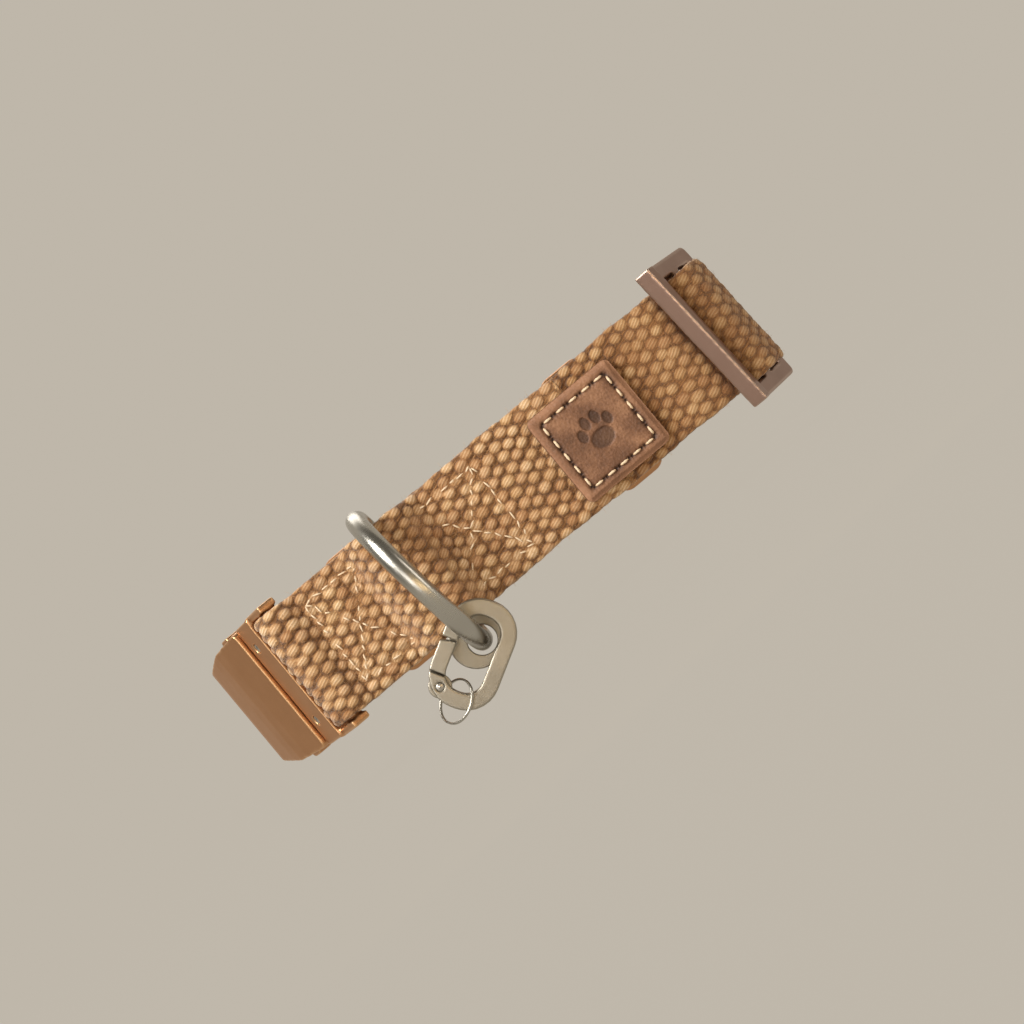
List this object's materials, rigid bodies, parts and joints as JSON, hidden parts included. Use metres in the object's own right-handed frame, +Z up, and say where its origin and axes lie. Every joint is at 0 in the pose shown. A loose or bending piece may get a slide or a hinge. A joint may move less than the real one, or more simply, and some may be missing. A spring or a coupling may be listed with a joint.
{
  "type": "martingale dog collar",
  "caption": "Martingale dog collar in coarse webbing with a metal side-release buckle, a slide adjuster, a tag ring with a gate clip, a leather patch and a slip loop for the leash.",
  "frame": {"origin": "on the ground plane under the middle of the object's box", "axes": "+Z up across the strap's width, -Y towards the front of the collar with the tag ring and patch, +X towards the slide adjuster"},
  "size_m": [0.126, 0.117, 0.0424],
  "materials": {
    "webbing": "coarse tan plied-yarn weave",
    "leather": "mottled brown, waxed",
    "buckle_metal": "rose gold, satin",
    "ring_metal": "champagne nickel, satin",
    "slide_metal": "pinkish bronze, satin",
    "clip_metal": "antique brass, satin",
    "steel": "plain"
  },
  "bodies": {
    "collar": {"front_strap": "webbing", "front_strap_tail": "webbing", "leather_patch": "leather", "tri_glide": "slide_metal", "strap_through_slide": "webbing", "slide_anchor": "webbing", "adjuster_outer": "webbing", "adjuster_inner": "webbing", "buckle_female": "buckle_metal", "buckle_strap": "webbing", "slip_loop": "webbing"},
    "buckle_male": {"buckle_male_frame": "buckle_metal", "strap_end_fold": "webbing", "release_pin_upper": "steel", "release_pin_lower": "steel", "release_spring_upper": "steel", "release_spring_lower": "steel"},
    "arm_upper": {"release_arm_upper": "buckle_metal"},
    "arm_lower": {"release_arm_lower": "buckle_metal"},
    "tag_ring": {"tag_d_ring": "ring_metal"},
    "disc": {"tag_disc": "clip_metal"},
    "clip": {"clip_body": "clip_metal", "clip_gate_pin": "steel"},
    "gate": {"clip_gate": "clip_metal"},
    "small_ring": {"split_ring": "ring_metal"},
    "ring_left": {"slip_ring_left": "buckle_metal", "ring_fold_left": "webbing"},
    "ring_right": {"slip_ring_right": "buckle_metal", "ring_fold_right": "webbing"},
    "leash_ring": {"leash_d_ring": "ring_metal"}
  },
  "joints": [
    {"name": "buckle_release", "type": "slide", "parent": "collar", "child": "buckle_male", "axis": [0.4695, -0.8829, 0], "range_m": [0, 0.016], "deforming": ["strap_end_fold", "release_arm_upper", "release_arm_lower"]},
    {"name": "release_press_upper", "type": "hinge", "parent": "buckle_male", "child": "arm_upper", "pos_m": [-0.04802, -0.02381, 0.03466], "axis": [-0.8829, -0.4695, 0], "range_deg": [0, 13], "stiffness_Nm_per_rad": 0.05, "deforming": ["release_spring_upper"]},
    {"name": "release_press_lower", "type": "hinge", "parent": "buckle_male", "child": "arm_lower", "pos_m": [-0.04802, -0.02381, 0.01706], "axis": [0.8829, 0.4695, 0], "range_deg": [0, 13], "stiffness_Nm_per_rad": 0.05, "deforming": ["release_spring_lower"]},
    {"name": "tag_ring_swing", "type": "hinge", "parent": "collar", "child": "tag_ring", "pos_m": [-0.01766, -0.03435, 0.02486], "axis": [-0.1219, 0, 0.9925], "range_deg": [-15, 40]},
    {"name": "tag_disc_spin", "type": "hinge", "parent": "tag_ring", "child": "disc", "pos_m": [-0.01574, -0.04035, 0.00922], "axis": [0, -1, 0], "continuous": true},
    {"name": "tag_clip_swing", "type": "hinge", "parent": "tag_ring", "child": "clip", "pos_m": [-0.01574, -0.04535, 0.00922], "axis": [0, 1, 0], "range_deg": [-30, 30]},
    {"name": "clip_gate_open", "type": "hinge", "parent": "clip", "child": "gate", "pos_m": [-0.02675, -0.04535, 0.00776], "axis": [0, 1, 0], "range_deg": [0, 22], "stiffness_Nm_per_rad": 0.005},
    {"name": "small_ring_swing", "type": "hinge", "parent": "clip", "child": "small_ring", "pos_m": [-0.02611, -0.04535, 0.00423], "axis": [0.4833, 0, -0.8755], "range_deg": [-15, 15]},
    {"name": "draw_right", "type": "slide", "parent": "collar", "child": "ring_right", "axis": [-1, 0, 0], "range_m": [0, 0.009], "deforming": ["slip_loop"]},
    {"name": "draw_left", "type": "slide", "parent": "collar", "child": "ring_left", "axis": [1, 0, 0], "range_m": [0, 0.009]},
    {"name": "leash_ring_swing", "type": "hinge", "parent": "collar", "child": "leash_ring", "pos_m": [-0.00006, 0.03565, 0.02586], "axis": [0, 0, 1], "range_deg": [-60, 60]}
  ],
  "couplings": [
    {"joint": "draw_left", "follows": "draw_right", "ratio": 1}
  ]
}
